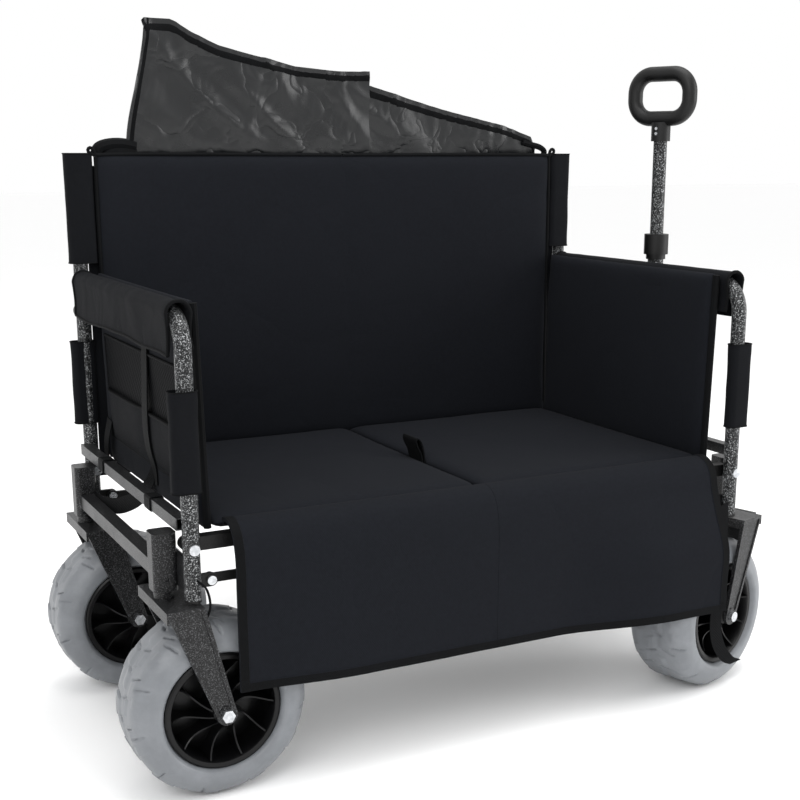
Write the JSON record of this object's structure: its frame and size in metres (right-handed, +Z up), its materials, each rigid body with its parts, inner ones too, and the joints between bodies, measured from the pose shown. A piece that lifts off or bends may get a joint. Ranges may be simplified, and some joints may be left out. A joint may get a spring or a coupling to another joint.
{
  "type": "beach cart",
  "caption": "Folding beach cart standing as a two-seat bench: tubular end frames on balloon-tyred casters, padded seat and back, front flap, stowed cover and telescoping pull handle.",
  "frame": {"origin": "middle of the footprint on the ground, midway between the two end frames", "axes": "+X runs along the bench towards the pull handle, +Y towards the backrest, +Z up"},
  "size_m": [1.0575, 0.5908, 1.025],
  "materials": {
    "frame_steel": "dark grey hammertone powder coat",
    "plate_steel": "dark grey hammertone powder coat on flat parts",
    "zinc_steel": "zinc plated, dull silver",
    "pad_fabric": "black woven polyester over foam, taped edges",
    "shell_fabric": "black woven polyester, two layers, taped edges",
    "cover_nylon": "black coated nylon with a soft sheen",
    "webbing": "black polypropylene webbing",
    "tyre_pvc": "light grey soft plastic balloon tyre",
    "black_plastic": "black moulded plastic, fine texture"
  },
  "bodies": {
    "left_end": {"left_arm_tube": "frame_steel", "left_rear_post": "frame_steel", "left_cross_bars": "frame_steel", "left_caster_housings": "frame_steel", "left_end_caps": "black_plastic", "left_frame_bolts": "zinc_steel", "left_link_brackets": "plate_steel", "left_forks": "frame_steel", "left_axle_bolts": "zinc_steel", "left_arm_sleeve": "shell_fabric", "left_side_panel": "shell_fabric", "left_post_sleeves": "shell_fabric", "left_pocket": "shell_fabric", "left_seat_strip": "pad_fabric"},
    "right_end": {"right_arm_tube": "frame_steel", "right_rear_post": "frame_steel", "right_cross_bars": "frame_steel", "right_caster_housings": "frame_steel", "right_end_caps": "black_plastic", "right_frame_bolts": "zinc_steel", "right_link_brackets": "plate_steel", "right_arm_sleeve": "shell_fabric", "right_side_panel": "shell_fabric", "right_post_sleeves": "shell_fabric", "right_seat_strip": "pad_fabric", "handle_bracket": "plate_steel"},
    "front_right_caster": {"front_right_fork": "frame_steel", "front_right_axle_bolt": "zinc_steel"},
    "front_right_brake_lever": {"front_right_brake": "plate_steel"},
    "rear_right_caster": {"rear_right_fork": "frame_steel", "rear_right_axle_bolt": "zinc_steel"},
    "rear_right_brake_lever": {"rear_right_brake": "plate_steel"},
    "front_left_wheel": {"front_left_tyre": "tyre_pvc", "front_left_rim": "black_plastic"},
    "rear_left_wheel": {"rear_left_tyre": "tyre_pvc", "rear_left_rim": "black_plastic"},
    "front_right_wheel": {"front_right_tyre": "tyre_pvc", "front_right_rim": "black_plastic"},
    "rear_right_wheel": {"rear_right_tyre": "tyre_pvc", "rear_right_rim": "black_plastic"},
    "left_deck": {"left_deck_frame": "plate_steel", "left_seat_pad": "pad_fabric"},
    "right_deck": {"right_deck_frame": "plate_steel", "right_seat_pad": "pad_fabric"},
    "centre_hub": {"centre_hubs": "plate_steel", "pull_strap": "webbing"},
    "left_link_pair": {"left_links": "plate_steel"},
    "right_link_pair": {"right_links": "plate_steel"},
    "left_back": {"left_back_panel": "pad_fabric", "left_cover": "cover_nylon"},
    "right_back": {"right_back_panel": "pad_fabric", "right_cover": "cover_nylon"},
    "left_front_flap": {"left_flap": "shell_fabric"},
    "right_front_flap": {"right_flap": "shell_fabric"},
    "handle_pole": {"handle_outer_tube": "frame_steel", "handle_collar": "black_plastic"},
    "handle_slider": {"handle_inner_tube": "frame_steel", "handle_grip": "black_plastic", "grip_screws": "zinc_steel"}
  },
  "joints": [
    {"name": "deck_fold", "type": "hinge", "parent": "left_end", "child": "left_deck", "pos_m": [-0.435, 0.017, 0.345], "axis": [0, -1, 0], "range_deg": [0, 65]},
    {"name": "hub_pivot", "type": "hinge", "parent": "left_deck", "child": "centre_hub", "pos_m": [-0.026, 0.017, 0.345], "axis": [0, -1, 0], "range_deg": [-65, 0]},
    {"name": "right_deck_pivot", "type": "hinge", "parent": "centre_hub", "child": "right_deck", "pos_m": [0.026, 0.017, 0.345], "axis": [0, -1, 0], "range_deg": [-65, 0]},
    {"name": "right_end_pivot", "type": "hinge", "parent": "right_deck", "child": "right_end", "pos_m": [0.435, 0.017, 0.345], "axis": [0, -1, 0], "range_deg": [0, 65]},
    {"name": "left_link_pivot", "type": "hinge", "parent": "left_end", "child": "left_link_pair", "pos_m": [-0.409, 0.017, 0.298], "axis": [0, -1, 0], "range_deg": [0, 65]},
    {"name": "right_link_pivot", "type": "hinge", "parent": "right_end", "child": "right_link_pair", "pos_m": [0.409, 0.017, 0.298], "axis": [0, -1, 0], "range_deg": [-65, 0]},
    {"name": "back_left_hinge", "type": "hinge", "parent": "left_end", "child": "left_back", "pos_m": [-0.409, 0.2655, 0.6], "axis": [0, 0, 1], "range_deg": [0, 65]},
    {"name": "back_centre_hinge", "type": "hinge", "parent": "left_back", "child": "right_back", "pos_m": [0, 0.2655, 0.6], "axis": [0, 0, 1], "range_deg": [-130, 0]},
    {"name": "left_flap_hinge", "type": "hinge", "parent": "left_deck", "child": "left_front_flap", "pos_m": [-0.19, -0.213, 0.358], "axis": [-1, 0, 0], "range_deg": [0, 170], "deforming": ["left_flap"]},
    {"name": "right_flap_hinge", "type": "hinge", "parent": "right_deck", "child": "right_front_flap", "pos_m": [0.19, -0.213, 0.358], "axis": [-1, 0, 0], "range_deg": [0, 170], "deforming": ["right_flap"]},
    {"name": "front_left_spin", "type": "hinge", "parent": "left_end", "child": "front_left_wheel", "pos_m": [-0.402, -0.186, 0.12], "axis": [0, 1, 0], "continuous": true},
    {"name": "rear_left_spin", "type": "hinge", "parent": "left_end", "child": "rear_left_wheel", "pos_m": [-0.402, 0.22, 0.12], "axis": [0, 1, 0], "continuous": true},
    {"name": "front_right_swivel", "type": "hinge", "parent": "right_end", "child": "front_right_caster", "pos_m": [0.46, -0.186, 0.3], "axis": [0, 0, 1], "continuous": true},
    {"name": "rear_right_swivel", "type": "hinge", "parent": "right_end", "child": "rear_right_caster", "pos_m": [0.46, 0.22, 0.3], "axis": [0, 0, 1], "continuous": true},
    {"name": "front_right_spin", "type": "hinge", "parent": "front_right_caster", "child": "front_right_wheel", "pos_m": [0.40453, -0.20296, 0.12], "axis": [0.2924, -0.9563, 0], "continuous": true},
    {"name": "rear_right_spin", "type": "hinge", "parent": "rear_right_caster", "child": "rear_right_wheel", "pos_m": [0.40256, 0.22807, 0.12], "axis": [-0.1392, -0.9903, 0], "continuous": true},
    {"name": "front_right_brake_hinge", "type": "hinge", "parent": "front_right_caster", "child": "front_right_brake_lever", "pos_m": [0.48343, -0.17884, 0.25], "axis": [-0.2924, 0.9563, 0], "range_deg": [0, 16]},
    {"name": "rear_right_brake_hinge", "type": "hinge", "parent": "rear_right_caster", "child": "rear_right_brake_lever", "pos_m": [0.48426, 0.21659, 0.25], "axis": [0.1392, 0.9903, 0], "range_deg": [0, 16]},
    {"name": "handle_hinge", "type": "hinge", "parent": "right_end", "child": "handle_pole", "pos_m": [0.466, 0.017, 0.334], "axis": [0, 1, 0], "range_deg": [0, 100]},
    {"name": "handle_slide", "type": "slide", "parent": "handle_pole", "child": "handle_slider", "axis": [0, 0, 1], "range_m": [-0.138, 0.15]}
  ],
  "couplings": [
    {"joint": "hub_pivot", "follows": "deck_fold", "ratio": -1},
    {"joint": "right_deck_pivot", "follows": "deck_fold", "ratio": -1},
    {"joint": "right_end_pivot", "follows": "deck_fold", "ratio": 1},
    {"joint": "left_link_pivot", "follows": "deck_fold", "ratio": 1},
    {"joint": "right_link_pivot", "follows": "deck_fold", "ratio": -1},
    {"joint": "back_left_hinge", "follows": "deck_fold", "ratio": 1},
    {"joint": "back_centre_hinge", "follows": "deck_fold", "ratio": -2},
    {"joint": "right_flap_hinge", "follows": "left_flap_hinge", "ratio": 1}
  ]
}
